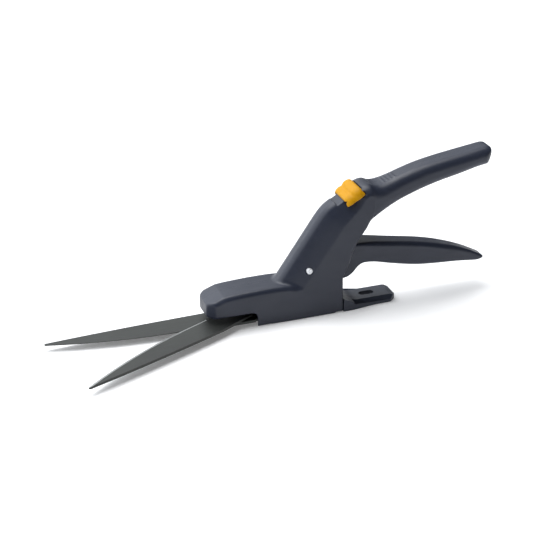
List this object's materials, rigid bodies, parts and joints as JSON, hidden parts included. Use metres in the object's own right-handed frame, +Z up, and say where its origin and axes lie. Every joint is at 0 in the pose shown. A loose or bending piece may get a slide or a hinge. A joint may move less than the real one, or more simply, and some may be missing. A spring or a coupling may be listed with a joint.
{
  "type": "grass shears",
  "caption": "One-handed grass shears: two blades crossing under the nose of a hollow body, squeezed by a lever below a rigid handle, with a sliding lock and a foot with a hanging slot.",
  "frame": {"origin": "on the surface the base stands on, directly below the lever's pin", "axes": "+X towards the blade tips, +Y the tool's left side, +Z up"},
  "size_m": [0.3388, 0.0804, 0.1122],
  "materials": {
    "dark_plastic": "fine moulded satin",
    "yellow_plastic": "satin",
    "blade_steel": "dark non-stick coating, ground edge",
    "bright_steel": "turned",
    "zinc_steel": "zinc plated",
    "spring_steel": "oiled",
    "bronze": "sintered bronze"
  },
  "bodies": {
    "housing": {"left_housing": "dark_plastic", "right_housing": "dark_plastic", "base_plate": "dark_plastic", "fixed_blade": "blade_steel", "blade_bolt": "zinc_steel", "blade_nut": "zinc_steel", "blade_washer": "spring_steel", "lever_pin": "bright_steel", "return_spring": "spring_steel", "lock_detent_spring": "spring_steel", "housing_screws": "zinc_steel", "base_screws": "zinc_steel", "tang_screws": "zinc_steel"},
    "squeeze_lever": {"lever": "dark_plastic", "lever_bush": "bronze", "link_pin": "zinc_steel"},
    "link": {"pull_link": "zinc_steel"},
    "upper_blade": {"moving_blade": "blade_steel", "blade_bush": "bronze", "heel_pin": "zinc_steel", "heel_clip": "spring_steel"},
    "lock": {"lock_slider": "yellow_plastic", "lock_bar": "zinc_steel"}
  },
  "joints": [
    {"name": "lever_squeeze", "type": "hinge", "parent": "housing", "child": "squeeze_lever", "pos_m": [0, 0, 0.0375], "axis": [0, 1, 0], "range_deg": [0, 17.5], "stiffness_Nm_per_rad": 1.5, "springref_deg": -17.19, "deforming": ["return_spring"]},
    {"name": "link_swing", "type": "hinge", "parent": "squeeze_lever", "child": "link", "pos_m": [0.00256, 0, 0.0209], "axis": [0, 1, 0], "range_deg": [-17.5, 0]},
    {"name": "blade_turn", "type": "hinge", "parent": "housing", "child": "upper_blade", "pos_m": [0.048, 0, 0.006], "axis": [0, 0, 1], "range_deg": [-28, 0]},
    {"name": "lock_slide", "type": "slide", "parent": "housing", "child": "lock", "axis": [0.8572, 0, -0.515], "range_m": [0, 0.005]}
  ],
  "couplings": [
    {"joint": "link_swing", "follows": "lever_squeeze", "ratio": -1},
    {"joint": "blade_turn", "follows": "lever_squeeze", "ratio": -1.6}
  ]
}
